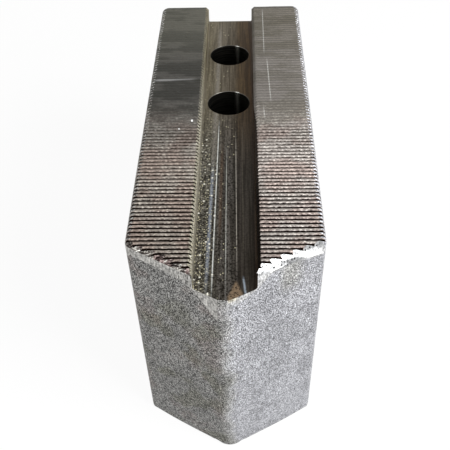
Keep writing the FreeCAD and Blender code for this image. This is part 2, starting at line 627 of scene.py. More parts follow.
    def edge_points(self, y: Array, grinding: HandGrinding) -> dict[str, Array]:
        """Heights and half-widths of the dressed edge of one half of the jaw.

        Args:
            y: places along the jaw.
            grinding: the hand-ground sizes of that half.

        Returns:
            Arrays named ground_z, band_z, shoulder_z, shoulder_x, slope (half-width lost
            for each mm up above the shoulder) and round (1 on the flank, 0 on the nose).
        """
        plan = self.plan
        place = self.face_place(y)
        spread = 1 / math.cos(plan.lean)
        side = grinding.side
        near_wall = smooth_step(self.slot_half, self.slot_half + 1.2, place)
        waves = value_noise(y, y * 0, grinding.wobble_wave, Seed.GROUND_LINE + side)
        wobble = grinding.wobble * waves * near_wall
        sharp = profile_value(grinding.ground_drop, place)
        soft = profile_value(grinding.ground_drop, place, grinding.blend)
        drop = sharp + (soft - sharp) * near_wall + wobble
        shoulder_drop = profile_value(grinding.shoulder_drop, place)
        fade = smooth_step(0.0, 0.8, place - self.slot_half)
        shoulder_inset = profile_value(grinding.shoulder_inset, place) * fade
        waves = value_noise(y, y * 0, grinding.ragged_wave, Seed.RAGGED_COARSE + side)
        fine = value_noise(y, y * 0, grinding.ragged_fine_wave, Seed.RAGGED_FINE + side)
        ragged = waves + grinding.ragged_fine_share * fine
        along_top = profile_value(grinding.top_inset, place, grinding.top_blend)
        top_inset = (along_top + grinding.ragged * ragged * near_wall) * fade
        run_out = 1 - smooth_step(plan.corner - 0.3, plan.corner + 1.6, y)
        shoulder_z = self.top - shoulder_drop
        half = plan.half_width(y)
        rounding = 1 - run_out
        return {
            "ground_z": (self.top - drop) * run_out + (self.top - self.flank_line_drop) * rounding,
            "band_z": (self.top - drop + self.band_above_line) * run_out
            + (self.top - self.bar_corner) * rounding,
            "shoulder_z": shoulder_z,
            "shoulder_x": half - shoulder_inset * spread * run_out,
            "slope": (top_inset - shoulder_inset) * spread / shoulder_drop * run_out,
            "round": rounding,
        }

    def lower_half_width(self, y: Array, z: Array, grinding: HandGrinding) -> Array:
        """Half-width of the jaw's side below the serrations.

        On the nose it is the rounded outline, cut back beside the slot by a plane that
        leans in above the ground line.

        Args:
            y: places along the jaw.
            z: heights, the same shape.
            grinding: the hand-ground sizes of that half.

        Returns:
            Half-widths in mm.
        """
        plan = self.plan
        edge = self.edge_points(y, grinding)
        place = self.face_place(y)
        lean = grinding.floor_lean * (1 - np.clip(place / self.slot_half, 0.0, 1.0))
        above = np.maximum(z - edge["ground_z"], 0.0)
        cut = plan.face_x(y) - above * lean / math.cos(plan.lean)
        outline = plan.half_width(y)
        return np.minimum(outline, np.where(place < self.slot_half, cut, outline))

    def edge_curve(
        self, y: Array, shares: Array, crest: Array, grinding: HandGrinding
    ) -> tuple[Array, Array]:
        """The edge between a side and a serrated pad, from the band up to the ridges.

        On the nose it goes up the band to the shoulder and along the slope until it meets
        the ridges or the slot's chamfer.  On the flank it is the bar's rolled corner up to
        the ridges.  The two blend round the nose corner.

        Args:
            y: places along the jaw.
            shares: how far along the curve, from 0 to 1, with 0.5 at the shoulder.
            crest: height of the ridges at each place.
            grinding: the hand-ground sizes of that half.

        Returns:
            Half-widths and heights, places by shares.
        """
        plan = self.plan
        edge = self.edge_points(y, grinding)
        zs, xs, slope = edge["shoulder_z"], edge["shoulder_x"], edge["slope"]
        to_ridge = crest - zs
        chamfer_start = self.top - self.slot_half - self.mouth_chamfer
        to_chamfer = (chamfer_start + xs - zs) / (1 + slope)
        rise = np.minimum(to_ridge, to_chamfer)
        first = np.clip(shares * 2, 0, 1)[None, :]
        second = np.clip(shares * 2 - 1, 0, 1)[None, :]
        band_z = edge["band_z"][:, None]
        band_x = self.lower_half_width(y, edge["band_z"], grinding)[:, None]
        cut_x = band_x + (xs[:, None] - band_x) * first - (slope * rise)[:, None] * second
        cut_z = band_z + (zs[:, None] - band_z) * first + rise[:, None] * second
        radius = self.bar_corner
        full = np.arcsin(np.clip((crest - (self.top - radius)) / radius, 0, 1))
        angle = full[:, None] * shares[None, :]
        half = plan.half_width(y)[:, None]
        arc_x = half - radius + radius * np.cos(angle)
        arc_z = self.top - radius + radius * np.sin(angle)
        weight = edge["round"][:, None]
        return cut_x * (1 - weight) + arc_x * weight, cut_z * (1 - weight) + arc_z * weight

    def floor_height(self, x: Array) -> Array:
        """Height of the slot floor across X, with a quarter circle up to each wall."""
        into = np.maximum(np.abs(x) - (self.slot_half - self.floor_radius), 0.0)
        into = np.minimum(into, self.floor_radius)
        return self.floor + self.floor_radius - np.sqrt(self.floor_radius**2 - into**2)

    def base_radius(self, y: Array) -> Array:
        """Radius of the bottom edge: small on the nose, worn rounder at its tip and corners.

        Args:
            y: places along the jaw.

        Returns:
            Radii in mm.
        """
        plan = self.plan
        plain = self.base_edge + (self.bar_corner - self.base_edge) * self.on_flank(y)
        at_tip = 1 - smooth_step(plan.tip, plan.tip + 9.0, y)
        at_corner = smooth_step(plan.corner - 5.0, plan.corner + 0.5, y)
        at_corner = at_corner * (1 - smooth_step(plan.corner + 2.0, plan.corner + 9.0, y))
        return plain + (self.worn_edge - plain) * np.maximum(at_tip, at_corner)

    def base_height(self, x: Array, y: Array) -> Array:
        """Height of the gripping face, rounded up towards its edge by a quarter circle."""
        radius = self.base_radius(y)
        into = np.clip(radius - self.plan.inset(x, y), 0.0, radius)
        return radius - np.sqrt(np.maximum(radius**2 - into**2, 0.0))

    # -- patches --

    def add_side(self, skin: Skin, grinding: HandGrinding) -> None:
        """One nose face and flank, up to the band below the serrations.

        Args:
            skin: where the patches go.
            grinding: the hand-ground sizes of that half.
        """
        y = self.coarse_stations()
        side = grinding.side
        edge = self.edge_points(y, grinding)
        low = self.base_radius(y)
        rows = np.array([0, 0.16, 0.32, 0.48, 0.62, 0.74, 0.83, 0.9, 0.95, 0.98, 1.0])
        z = low[:, None] + (edge["ground_z"] - low)[:, None] * rows
        tip_floor = self.floor_edge(y, grinding)
        before_wall = y < self.wall_y - 1e-6
        z_top = np.where(before_wall, tip_floor[1], edge["band_z"])
        x = self.lower_half_width(y[:, None] + 0 * z, z, grinding)
        skin.grid(sheet(side * x, y, z), Zone.BLASTED)
        steps = np.linspace(0, 1, 4)
        upper = edge["ground_z"][:, None] + (z_top - edge["ground_z"])[:, None] * steps
        x_upper = self.lower_half_width(y[:, None] + 0 * upper, upper, grinding)
        x_upper[:, -1] = np.where(before_wall, tip_floor[0], x_upper[:, -1])
        middle = (y[:-1] + y[1:]) / 2
        ground_end = self.plan.corner + 0.6
        ground = (self.plan.half_width(middle) > grinding.facet_start) & (middle < ground_end)
        zone = np.where(ground, Zone.GROUND.value, Zone.BLASTED.value)
        cells = np.repeat(zone[:, None], len(steps) - 1, axis=1)
        skin.grid(sheet(side * x_upper, y, upper), cells)

    def floor_edge(self, y: Array, grinding: HandGrinding) -> tuple[Array, Array]:
        """Half-width and height of the slot floor's outer edge on one half.

        Args:
            y: places along the jaw.
            grinding: the hand-ground sizes of that half.

        Returns:
            Half-widths and heights; past the nose they stay at the wall.
        """
        width = self.lower_half_width(y, np.full_like(y, self.floor), grinding)
        width = np.minimum(width, self.slot_half)
        width = np.where(y > self.wall_y - 1e-6, self.slot_half, width)
        return width, self.floor_height(width)

    def add_edge(self, skin: Skin, grinding: HandGrinding) -> Array:
        """The dressed edge of one half, as far as the ridges.

        Args:
            skin: where the patches go.
            grinding: the hand-ground sizes of that half.

        Returns:
            The line where the ridges start, places by xyz.
        """
        y = self.fine_stations()
        side = grinding.side
        shares = self.edge_shares()
        crest = self.ridge_height(y)
        x, z = self.edge_curve(y, shares, crest, grinding)
        edge = self.edge_points(y, grinding)
        past_slot = self.face_place(y) - self.slot_half
        on_nose = (1 - edge["round"]) * smooth_step(0.2, 1.4, past_slot)
        rough = 0.10 if grinding.slope_zone is Zone.TORN else 0.045
        swing = np.sin(np.pi * np.clip(shares * 2 - 1, 0, 1))[None, :] * on_nose[:, None]
        yy = y[:, None] + 0 * z
        # Three times finer up the slope, and read from a place of its own on each side.
        up = z * 3 + side * 40
        grain = value_noise(yy, up, 0.55, Seed.TORN_COARSE)
        grain = grain + 0.6 * value_noise(yy, up, 0.23, Seed.TORN_FINE)
        x = x - rough * (0.4 + grain) * swing
        points = sheet(side * x, y, z)
        fine = points[:, 1:]
        middle = (y[:-1] + y[1:]) / 2
        nose_end = self.plan.corner + 0.5
        nose = middle < nose_end
        band = np.where(nose, Zone.GROUND.value, Zone.BLASTED.value)
        slope = np.where(nose, grinding.slope_zone.value, Zone.BLASTED.value)
        cells = np.where(shares[1:-1][None, :] < 0.499, band[:, None], slope[:, None])
        skin.grid(fine, cells)
        coarse_y = self.coarse_stations()
        coarse_y = coarse_y[coarse_y > self.wall_y - 1e-6]
        low = self.edge_points(coarse_y, grinding)["band_z"]
        low_x = self.lower_half_width(coarse_y, low, grinding)
        coarse = np.stack([side * low_x, coarse_y, low], -1)
        skin.strip(fine[:, 0], coarse, Zone.GROUND, Zone.BLASTED, nose_end)
        return points[:, -1]

    def edge_shares(self) -> Array:
        """How the dressed edge is divided, from the band to the ridges."""
        return np.array([0, 0.2, 0.36, 0.5, 0.6, 0.7, 0.8, 0.9, 1.0])

    def add_pad(self, skin: Skin, grinding: HandGrinding, rim: Array) -> None:
        """The ridges of one half, the chamfer beside the slot and the slot wall.

        Args:
            skin: where the patches go.
            grinding: the hand-ground sizes of that half.
            rim: the line where the dressed edge meets the ridges.
        """
        side = grinding.side
        y = rim[:, 1]
        outer = np.abs(rim[:, 0])
        crest = self.ridge_height(y)
        mouth = self.slot_half + self.mouth_chamfer - (self.top - crest)
        inner = np.minimum(mouth, outer)
        start_z = np.where(mouth < outer, crest, rim[:, 2])
        near_edge = np.array([0, 0.15, 0.35, 0.6, 0.9, 1.25, 1.65, 2.1, 2.6, 3.2, 3.9])
        far_part = np.linspace(0, 1, 15)[1:]
        width = outer - inner
        squeeze = np.minimum(1.0, width / 8.0)
        near_x = outer[:, None] - near_edge * squeeze[:, None]
        rest = near_x[:, -1:] + (inner[:, None] - near_x[:, -1:]) * far_part
        x = np.concatenate([near_x, rest], 1)
        share = (x - inner[:, None]) / np.maximum(width, 1e-6)[:, None]
        z = start_z[:, None] + (rim[:, 2] - start_z)[:, None] * share
        z = z + self.pad_wear(x, y, z, side, share)
        z[:, 0] = rim[:, 2]
        z[:, -1] = start_z
        skin.grid(sheet(side * x, y, z), Zone.SERRATED, self.ridge_share(z))
        steps = np.linspace(0, 1, 4)
        low_z = self.top - self.mouth_chamfer
        cx = inner[:, None] + (self.slot_half - inner)[:, None] * steps
        cz = start_z[:, None] + (low_z - start_z)[:, None] * steps
        # The chamfer beside the slot takes the slot's finish on the left, painted light included; on the
        # right the ridge finish reads its relief scaled by 0.8, which paints it darker as shade.
        finish = Zone.SLOT if side < 0 else Zone.SERRATED
        skin.grid(sheet(side * cx, y, cz), finish, self.ridge_share(cz) * 0.8)
        wall_y = self.coarse_stations()
        wall_y = wall_y[wall_y > self.wall_y - 1e-6]
        foot = self.floor_height(np.array(self.slot_half))
        heights = self.wall_heights(foot)
        grid_z = np.broadcast_to(heights[:-1], (len(wall_y), len(heights) - 1))
        wall = sheet(side * self.slot_half + 0 * grid_z, wall_y, grid_z)
        skin.grid(wall, Zone.SLOT)
        top_line = np.stack([side * self.slot_half + 0 * y, y, low_z + 0 * y], -1)
        skin.strip(top_line, wall[:, -1], Zone.SLOT, Zone.SLOT, 0.0)

    def wall_heights(self, foot: float) -> Array:
        """Heights that divide a slot wall, the same as the dressed edge's at its start.

        Args:
            foot: height where the wall starts, above the floor radius.

        Returns:
            Rising heights, up to the mouth's chamfer.
        """
        shares = self.edge_shares()
        shoulder = self.top - self.mouth_chamfer
        break_z = self.top - profile_value(LEFT_GRINDING.shoulder_drop, np.array(self.slot_half))
        lower = np.clip(shares * 2, 0, 1)
        upper = np.clip(shares * 2 - 1, 0, 1)
        return foot + (break_z - foot) * lower + (shoulder - break_z) * upper

    def pad_wear(self, x: Array, y: Array, z: Array, side: int, share: Array) -> Array:
        """Small lasting damage of the ridges: uneven crests, dents and pushed-up metal.

        Args:
            x: distances from the middle, rows by columns.
            y: one place along the jaw for each row.
            z: heights of the undamaged ridges.
            side: -1 on the left and 1 on the right.
            share: how far each point is from the slot to the outer edge, from 0 to 1.

        Returns:
            What is added to each height, in mm.
        """
        yy = y[:, None] + 0 * x
        across = side * x
        inside = np.clip(share / 0.03, 0, 1) * np.clip((1 - share) / 0.03, 0, 1)
        height = self.ridge_share(z)
        along = value_noise(across, yy / 1.5, 2.6, Seed.CREST_COARSE)
        along = along + 0.5 * value_noise(across, yy, 0.8, Seed.CREST_FINE)
        worn = -0.030 * (0.6 + along) * height
        pits = value_noise(across, yy, 0.9, Seed.DENTS)
        dents = -0.16 * smooth_step(0.72, 0.95, pits) * height
        fill = 0.05 * (1 - height) * (1 + value_noise(across, yy, 1.1, Seed.GROOVE_DIRT))
        return (worn + dents + fill) * inside

    def window_columns(self, half: float) -> Array:
        """Equal steps across a screw hole's window."""
        return np.linspace(-half, half, self.window_steps + 1)

    def add_floor(self, skin: Skin) -> None:
        """The slot floor, with a window left open at each screw hole."""
        y = self.coarse_stations()
        fillet = self.slot_half - self.floor_radius * np.array([0, 0.08, 0.3, 0.62])
        middle = self.window_columns(self.slot_half - self.floor_radius)
        columns = np.concatenate([-fillet, middle, fillet[::-1]])
        left = self.floor_edge(y, LEFT_GRINDING)[0]
        right = self.floor_edge(y, RIGHT_GRINDING)[0]
        x = np.clip(columns[None, :], -left[:, None], right[:, None])
        self._add_with_windows(skin, sheet(x, y, self.floor_height(x)), len(fillet), Zone.SLOT)

    def _add_with_windows(self, skin: Skin, points: Array, first: int, zone: Zone) -> None:
        """Adds a grid but leaves out twelve columns where a hole passes.

        Args:
            skin: where the patches go.
            points: the whole grid.
            first: number of the window's first column.
            zone: the finish.
        """
        last = first + self.window_steps
        skin.grid(points[:, : first + 1], zone)
        skin.grid(points[:, last:], zone)
        start = 0
        for centre in self.screw_places:
            low, high = self.window_rows(points[:, 0, 1], centre)
            skin.grid(points[start : low + 1, first : last + 1], zone)
            start = high
        skin.grid(points[start:, first : last + 1], zone)

    def add_base(self, skin: Skin) -> None:
        """The gripping face, its edge rounded, with a window at each counterbore."""
        y = self.coarse_stations()
        half = self.plan.half_width(y)
        scale = np.minimum(1.0, half / 9.0)
        spread = 1 / math.cos(self.plan.lean)
        stretch = scale * (spread + (1 - spread) * self.on_flank(y))
        edge = np.array([0, 0.05, 0.2, 0.45, 0.8, 1.2, 1.7, 2.3])
        near = half[:, None] - edge * stretch[:, None]
        middle = self.window_columns(self.window_half)
        inner = self.plan.half - edge[-1]
        share = middle / inner
        centre = share[None, :] * near[:, -1:]
        between = near[:, -1:] + (centre[:, -1:] - near[:, -1:]) * np.array([1 / 3, 2 / 3])
        right = np.concatenate([near, between], 1)
        x = np.concatenate([-right, centre, right[:, ::-1]], 1)
        z = self.base_height(x, y[:, None] + 0 * x)
        z[:, 0] = z[:, -1] = self.base_radius(y)
        self._add_with_windows(skin, sheet(x, y, z), right.shape[1], Zone.GRIP)

    def add_bores(self, skin: Skin) -> None:
        """Each screw hole with its counterbore, and the ring that joins it to each face."""
        y = self.coarse_stations()
        across = self.window_columns(1.0)
        seat = self.floor - self.seat_below_floor
        wide = self.counterbore_radius
        narrow = self.screw_radius
        wall = [
            (narrow + 0.1, self.floor),
            (narrow, self.floor - 0.1),
            (narrow, self.floor - 6.0),
            (narrow, self.floor - 13.0),
            (narrow, seat + 0.3),
            (narrow + 0.3, seat),
            (wide, seat),
            (wide, seat - 14.0),
            (wide, 28.0),
            (wide, 14.0),
            (wide, 1.0),
            (wide + 1.0, 0.0),
        ]
        for centre in self.screw_places:
            low, high = self.window_rows(y, centre)
            along = y[low : high + 1] - centre
            # Once round the window: up its left side, across, down and back.
            front, rear = along[0] + 0 * across[1:], along[-1] + 0 * across[1:]
            left, right = -1 + 0 * along, 1 + 0 * along[1:]
            loop_y = np.concatenate([along, rear, along[::-1][1:], front])
            loop_x = np.concatenate([left, across[1:], right, across[::-1][1:]])
            count = len(loop_y) - 1
            corner = math.atan2(self.window_half, self.slot_half - self.floor_radius)
            start = -(math.pi - corner)
            angle = start - 2 * math.pi * np.arange(count + 1) / count
            ring = np.array([0.0, 0.35, 0.7, 1.0])
            circle = np.stack([np.cos(angle), np.sin(angle)], -1)
            for half, radius, z, zone in (
                (self.slot_half - self.floor_radius, wall[0][0], self.floor, Zone.SLOT),
                (self.window_half, wall[-1][0], 0.0, Zone.GRIP),
            ):
                square = np.stack([loop_x * half, loop_y], -1)
                out = ring[:, None, None]
                flat = square[None] * (1 - out) + circle[None] * radius * out
                flat[..., 1] += centre
                level = np.full(flat.shape[:-1] + (1,), z)
                skin.grid(np.concatenate([flat, level], -1), zone)
            tube = np.array(
                [[r * np.cos(angle), r * np.sin(angle) + centre, z + 0 * angle] for r, z in wall]
            )
            skin.grid(np.moveaxis(tube, 1, 2), Zone.BORE)

    def build(self) -> bpy.types.Object:
        """Makes the jaw's skin from its patches."""
        skin = Skin()
        for grinding in (LEFT_GRINDING, RIGHT_GRINDING):
            self.add_side(skin, grinding)
            rim = self.add_edge(skin, grinding)
            self.add_pad(skin, grinding, rim)
        self.add_floor(skin)
        self.add_base(skin)
        self.add_bores(skin)
        return skin.close("jaw_body")


# ---- finishes -----------------------------------------------------------------------------


def linear(hex_colour: str) -> tuple[float, float, float, float]:
    """Turns an sRGB colour into Blender's linear numbers.

    Args:
        hex_colour: six hex digits, such as "a0a0a0".

    Returns:
        Red, green and blue from 0 to 1, and an alpha of 1.
    """
    parts = [int(hex_colour[i : i + 2], 16) / 255 for i in (0, 2, 4)]
    flat = [p / 12.92 if p <= 0.04045 else ((p + 0.055) / 1.055) ** 2.4 for p in parts]
    return (*flat, 1.0)


def add_node(
    tree: bpy.types.NodeTree,
    kind: str,
    links: dict[int | str, Socket | float | tuple] | None = None,
    out: int | str = 0,
    stops: tuple[tuple[float, str], ...] = (),
    **settings: object,
) -> Socket:
    """Adds one node with its settings and links.

    Args:
        tree: the nodes of a material or of the world.
        kind: the node's Blender type.
        links: input name or number, to an output socket or a plain value.
        out: which of its outputs is wanted.
        stops: places and sRGB colours of a colour ramp.
        settings: the node's own properties.

    Returns:
        The wanted output.
    """
    node = tree.nodes.new(kind)
    for key, value in settings.items():
        setattr(node, key, value)
    for key, value in (links or {}).items():
        if isinstance(value, Socket):
            tree.links.new(value, node.inputs[key])
        else:
            node.inputs[key].default_value = value
    if stops:
        ramp = node.color_ramp
        while len(ramp.elements) < len(stops):
            ramp.elements.new(1.0)
        for element, (place, colour) in zip(ramp.elements, stops):
            element.position = place
            element.color = linear(colour)
    return node.outputs[out]


class Film(Enum):
    """How a film of colour lies on what is under it."""

    COVER = "MIX"
    STAIN = "MULTIPLY"
    SHINE = "ADD"


@dataclass
class Coat:
    """One material while it is being made, with the place on the jaw in millimetres."""

    name: str
    metallic: float = 1.0
    made: bpy.types.Material = field(init=False)
    add: Callable[..., Socket] = field(init=False)
    place: Socket = field(init=False)
    x: Socket = field(init=False)
    y: Socket = field(init=False)
    z: Socket = field(init=False)

    def __post_init__(self) -> None:
        """Starts the material and reads the object's own coordinates."""
        self.made = bpy.data.materials.new(self.name)
        self.made.use_nodes = True
        self.add = partial(add_node, self.made.node_tree)
        metres = self.add("ShaderNodeTexCoord", out="Object")
        self.place = self.add("ShaderNodeVectorMath", {0: metres, "Scale": 1 / MM}, operation="SCALE")
        self.x, self.y, self.z = (
            self.add("ShaderNodeSeparateXYZ", {0: self.place}, axis) for axis in "XYZ"
        )

    def area(self, *limits: tuple[Socket, float, float], level: float = 1.0) -> Socket:
        """Share of a soft-edged area, as the product of a smooth step for each limit.

        Args:
            limits: (value, nothing, full), each rising from 0 to 1 between the two numbers.
            level: the share well inside the area.

        Returns:
            The share, from 0 to level.
        """
        share: Socket | float = level
        for value, nothing, full in limits:
            low, high = min(nothing, full), max(nothing, full)
            ends = (0.0, 1.0) if nothing < full else (1.0, 0.0)
            links = {"Value": value, "From Min": low, "From Max": high, "To Min": ends[0], "To Max": ends[1]}
            step = self.add("ShaderNodeMapRange", links, interpolation_type="SMOOTHSTEP")
            share = self.add("ShaderNodeMath", {0: step, 1: share}, operation="MULTIPLY")
        return share

    def lay(self, under: Socket, *films: tuple[Film, str, Socket | float]) -> Socket:
        """Lays films of colour over a surface, one after the other.

        Args:
            under: the colour underneath.
            films: (how it lies, sRGB colour, share) of each film.

        Returns:
            The colour with its films.
        """
        for film, colour, share in films:
            links = {0: share, 6: under, 7: linear(colour)}
            under = self.add("ShaderNodeMix", links, 2, data_type="RGBA", blend_type=film.value)
        return under

    def scratch(
        self, start: Vector3, end: Vector3, width: float, fade: float, facing: Vector3 = (0, 0, 1)
    ) -> Socket:
        """Share of a straight mark on a flat face.

        It is 1 on the line from start to end, and falls to 0 at half the width from it and
        over the fade length inside each end.

        Args:
            start: one end, in mm.
            end: the other end, in mm.
            width: full width, in mm.
            fade: length over which each end fades, in mm.
            facing: the way the face looks.

        Returns:
            The share, from 0 to 1.
        """
        line = Vector(end) - Vector(start)
        along = line.normalized()
        across = along.cross(Vector(facing)).normalized()
        middle = (Vector(start) + Vector(end)) / 2
        from_middle = self.add("ShaderNodeVectorMath", {0: self.place, 1: middle}, operation="SUBTRACT")
        sideways = self.add(
            "ShaderNodeVectorMath", {0: from_middle, 1: across}, "Value", operation="DOT_PRODUCT"
        )
        away = self.add("ShaderNodeMath", {0: sideways}, operation="ABSOLUTE")
        lengthways = self.add(
            "ShaderNodeVectorMath", {0: from_middle, 1: along}, "Value", operation="DOT_PRODUCT"
        )
        reach = self.add("ShaderNodeMath", {0: lengthways}, operation="ABSOLUTE")
        return self.area((away, width / 2, 0.0), (reach, line.length / 2, line.length / 2 - fade))

    def specks(self, size: float, crowd: Socket | float) -> Socket:
        """Share of small round specks, one to a cell in some of the cells.

        Args:
            size: side of a cell, in mm; a speck is about half as wide.
            crowd: the part of the cells that have one.

        Returns:
            The share, from 0 to 1.
        """
        links = {"Vector": self.place, "Scale": 1 / size}
        from_middle = self.add("ShaderNodeTexVoronoi", links, "Distance")
        lot = self.add("ShaderNodeTexVoronoi", links, "Color")
        draw = self.add("ShaderNodeSeparateColor", {0: lot})
        chosen = self.add("ShaderNodeMath", {0: draw, 1: crowd}, operation="LESS_THAN")
        return self.area((from_middle, 0.36, 0.18), level=chosen)

    def finish(
        self, colour: Socket, roughness: Socket | float, height: Socket | None = None, depth: float = 0.0
    ) -> bpy.types.Material:
        """Joins colour, roughness and bump to the shader.

        Args:
            colour: the base colour.
            roughness: a value or a socket.
            height: bump height from 0 to 1.
            depth: what a height of 1 stands for, in mm.

        Returns:
            The finished material.
        """
        tree = self.made.node_tree
        shader = tree.nodes["Principled BSDF"]
        shader.inputs["Metallic"].default_value = self.metallic
        tree.links.new(colour, shader.inputs["Base Color"])
        if isinstance(roughness, Socket):
            tree.links.new(roughness, shader.inputs["Roughness"])
        else:
            shader.inputs["Roughness"].default_value = roughness
        if height is not None:
            bump = self.add(
                "ShaderNodeBump", {"Height": height, "Distance": depth * MM, "Strength": 1.0}
            )
            tree.links.new(bump, shader.inputs["Normal"])
        return self.made


@dataclass(frozen=True)
class Mark:
    """A straight scratch, tool line or smear on one of the jaw's flat faces, in mm."""

    start: Vector3
    end: Vector3
    width: float
    colour: str
    strength: float
    fade: float = 6.0
    facing: Vector3 = (0, 0, 1)

    def film(self, coat: Coat, broken: Socket | float = 1.0) -> tuple[Film, str, Socket]:
        """The mark as a film of colour.

        Args:
            coat: the material that the mark is on.
            broken: breaks it up, from 0 where it is missing to 1.

        Returns:
            How the film lies, its sRGB colour and its share.
        """
        share = coat.scratch(self.start, self.end, self.width, self.fade, self.facing)
        share = coat.add("ShaderNodeMath", {0: share, 1: self.strength}, operation="MULTIPLY")
        share = coat.add("ShaderNodeMath", {0: share, 1: broken}, operation="MULTIPLY")
        return Film.COVER, self.colour, share


def flat_marks(height: float, *rows: tuple) -> tuple[Mark, ...]:
    """Marks on a level face.

    Args:
        height: height of the face, in mm.
        rows: (x, y) of the start and of the end, width, colour, strength and maybe fade.

    Returns:
        One mark for each row.
    """
    return tuple(Mark((*start, height), (*end, height), *rest) for start, end, *rest in rows)


@dataclass(frozen=True)
class BlastedSteel:
    """Bar steel, shot-blasted and tumbled: dull grey with a fine dark and bright grain."""

    grain_mm: float = 0.27
    dent_mm: float = 0.8
    patch_mm: float = 11.0
    bump_mm: float = 0.10
    left_face: Vector3 = (-0.5075, -0.8616, 0.0)
    marks: tuple[tuple[Vector3, Vector3], ...] = (
        ((-8.6, -65.2, 60.4), (-6.6, -66.35, 57.2)),
        ((-8.9, -65.0, 59.2), (-7.3, -65.95, 56.6)),
        ((-5.7, -66.9, 57.2), (-3.7, -68.05, 52.2)),
        ((-11.6, -63.4, 66.0), (-10.6, -64.0, 64.6)),
        ((-15.9, -60.9, 47.4), (-14.9, -61.5, 46.4)),
    )

    def material(self) -> bpy.types.Material:
        """Makes the finish: grain, dents, painted shade with brown tarnish on the left, and a few scratches.

        The shot leaves pits of about a tenth of a millimetre, drawn a little coarser here
        so that they show.
        """
        coat = Coat("blasted_tumbled_steel")
        grain = coat.add(
            "ShaderNodeTexNoise",
            {"Vector": coat.place, "Scale": 1 / self.grain_mm, "Detail": 1.0, "Roughness": 0.6},
        )
        dents = coat.add(
            "ShaderNodeTexNoise",
            {"Vector": coat.place, "Scale": 1 / self.dent_mm, "Detail": 2.0, "Roughness": 0.6},
        )
        patch = coat.add(
            "ShaderNodeTexNoise",
            {"Vector": coat.place, "Scale": 1 / self.patch_mm, "Detail": 3.0, "Roughness": 0.65},
        )
        olive = coat.add(
            "ShaderNodeTexNoise",
            {"Vector": coat.place, "Scale": 1.3 / self.patch_mm, "Detail": 2.0, "W": 7.0},
            noise_dimensions="4D",
        )
        # The left half is darker: painted shade, as the lamp on the right lights it less, with brown and
        # olive tarnish over it; the border wanders with the patches.
        wander = coat.add("ShaderNodeMath", {0: patch, 1: 9.0, 2: -4.5}, operation="MULTIPLY_ADD")
        border = coat.add("ShaderNodeMath", {0: coat.x, 1: wander}, operation="ADD")
        left = coat.area((border, 1.5, -2.5))
        # The grain is sharper towards the top, where the face was handled least.
        sharp = coat.add(
            "ShaderNodeMapRange",
            {"Value": coat.z, "From Min": 8.0, "From Max": 62.0, "To Min": 0.95, "To Max": 1.75},
        )
        side = coat.add("ShaderNodeMapRange", {"Value": left, "To Min": 0.72, "To Max": 1.12})
        sharp = coat.add("ShaderNodeMath", {0: sharp, 1: side}, operation="MULTIPLY")
        coarse = coat.add("ShaderNodeMapRange", {"Value": left, "To Min": 0.3, "To Max": 0.55})
        fine_part = coat.add("ShaderNodeMath", {0: grain, 1: sharp, 2: sharp}, operation="MULTIPLY_ADD")
        fine_part = coat.add(
            "ShaderNodeMath", {0: sharp, 1: -1.5, 2: fine_part}, operation="MULTIPLY_ADD"
        )
        dent_part = coat.add("ShaderNodeMath", {0: dents, 1: -0.5}, operation="ADD")
        relief = coat.add(
            "ShaderNodeMath", {0: dent_part, 1: coarse, 2: fine_part}, operation="MULTIPLY_ADD"
        )
        relief = coat.add("ShaderNodeMath", {0: relief, 1: 0.5}, operation="ADD")
        tone = coat.add(
            "ShaderNodeValToRGB",
            {"Fac": relief},
            stops=((0.28, "434343"), (0.42, "848484"), (0.53, "ababab"), (0.64, "dcdcdc"), (0.78, "ffffff")),
        )
        rusty = coat.area((patch, 0.48, 0.62), level=0.55)
        rusty = coat.add("ShaderNodeMath", {0: rusty, 1: left}, operation="MULTIPLY")
        green = coat.area((olive, 0.5, 0.62), level=0.6)
        green = coat.add("ShaderNodeMath", {0: green, 1: left}, operation="MULTIPLY")
        yellow = coat.area((coat.x, 12.5, 15.5), (coat.x, 21.0, 17.0), (coat.z, 62.0, 68.0), level=0.35)
        # The first stain paints shade on the left half; the rusty and olive stains are tarnish.
        colour = coat.lay(
            tone,
            (Film.STAIN, "c9c8c5", left),
            (Film.STAIN, "dacdca", rusty),
            (Film.STAIN, "dcdccc", green),
            (Film.STAIN, "f8f9ff", coat.area((border, 0.5, 3.0), level=0.9)),
            (Film.STAIN, "f4f0d8", yellow),
            (Film.STAIN, "dedede", coat.area((patch, 0.60, 0.38), level=0.7)),
        )
        for start, end in self.marks:
            mark = Mark(start, end, 0.45, "b8b8b6", 0.55, 0.8, self.left_face)
            colour = coat.lay(colour, mark.film(coat))
        rough = coat.add(
            "ShaderNodeMapRange",
            {"Value": relief, "From Min": 0.3, "From Max": 0.7, "To Min": 0.8, "To Max": 0.55},
        )
        return coat.finish(colour, rough, relief, self.bump_mm)


